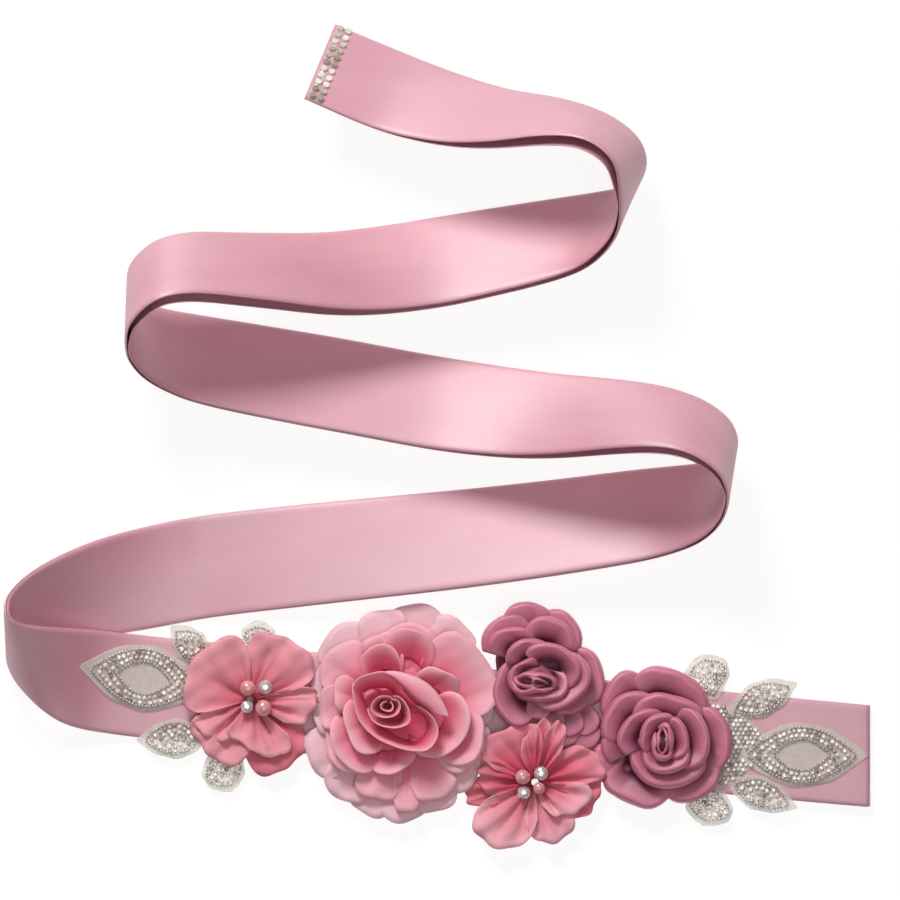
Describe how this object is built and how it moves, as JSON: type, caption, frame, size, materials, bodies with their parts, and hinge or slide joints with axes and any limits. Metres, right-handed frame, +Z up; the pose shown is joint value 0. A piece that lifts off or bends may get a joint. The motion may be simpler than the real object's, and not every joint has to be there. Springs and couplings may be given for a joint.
{
  "type": "sash belt",
  "caption": "Doubled satin ribbon sash belt laid in switchback bends, its front sewn with cloth roses, folded chiffon flowers, beads and crystal leaves, its tail ended in a crystal trim.",
  "frame": {"origin": "on the table, under the middle of the whole lay", "axes": "+X along the flowered front towards its turned end, +Y from the front towards the tail, +Z up from the table"},
  "size_m": [0.3392, 0.3251, 0.0625],
  "materials": {
    "satin_pink": "soft satin, dusty pink, brighter sheen along the ribbon",
    "chiffon_pink": "thin matt chiffon, light pink, deeper in the folds",
    "satin_mauve": "smooth satin, dusty mauve",
    "chiffon_coral": "thin chiffon, coral pink",
    "chiffon_deep_coral": "thin chiffon, deeper coral pink",
    "crystal_applique": "champagne stones and seed beads on ivory organza",
    "crystal_trim": "clear stones in silver cups",
    "pearl": "glossy pink imitation pearl",
    "crystal_bead": "faceted clear bead"
  },
  "bodies": {
    "root": {"ribbon_outer_1": "satin_pink", "ribbon_inner_1": "satin_pink", "ribbon_outer_2": "satin_pink", "ribbon_inner_2": "satin_pink", "ribbon_outer_3": "satin_pink", "ribbon_inner_3": "satin_pink", "ribbon_outer_4": "satin_pink", "ribbon_inner_4": "satin_pink", "ribbon_outer_5": "satin_pink", "ribbon_inner_5": "satin_pink", "ribbon_outer_6": "satin_pink", "ribbon_inner_6": "satin_pink", "ribbon_outer_7": "satin_pink", "ribbon_inner_7": "satin_pink", "ribbon_outer_8": "satin_pink", "ribbon_inner_8": "satin_pink", "ribbon_outer_9": "satin_pink", "ribbon_inner_9": "satin_pink", "ribbon_turned_end": "satin_pink", "tail_crystal_trim": "crystal_trim", "leaf_left_1": "crystal_applique", "leaf_left_2": "crystal_applique", "leaf_left_3": "crystal_applique", "leaf_left_4": "crystal_applique", "leaf_left_5": "crystal_applique", "leaf_right_1": "crystal_applique", "leaf_right_2": "crystal_applique", "leaf_right_3": "crystal_applique", "leaf_right_4": "crystal_applique", "leaf_right_5": "crystal_applique", "chiffon_rose_outer": "chiffon_pink", "chiffon_rose_middle": "chiffon_pink", "chiffon_rose_inner": "chiffon_pink", "chiffon_rose_heart": "chiffon_pink", "satin_rose_1_outer": "satin_mauve", "satin_rose_1_coil": "satin_mauve", "satin_rose_2_outer": "satin_mauve", "satin_rose_2_coil": "satin_mauve", "small_flower_1_petal_1": "chiffon_coral", "small_flower_1_petal_2": "chiffon_coral", "small_flower_1_petal_3": "chiffon_coral", "small_flower_1_petal_4": "chiffon_coral", "small_flower_1_petal_5": "chiffon_coral", "small_flower_2_petal_1": "chiffon_deep_coral", "small_flower_2_petal_2": "chiffon_deep_coral", "small_flower_2_petal_3": "chiffon_deep_coral", "small_flower_2_petal_4": "chiffon_deep_coral", "small_flower_2_petal_5": "chiffon_deep_coral", "bead_1_pearl_1": "pearl", "bead_1_pearl_2": "pearl", "bead_1_crystal_1": "crystal_bead", "bead_1_crystal_2": "crystal_bead", "bead_2_pearl_1": "pearl", "bead_2_pearl_2": "pearl", "bead_2_crystal_1": "crystal_bead", "bead_2_crystal_2": "crystal_bead"}
  },
  "joints": []
}
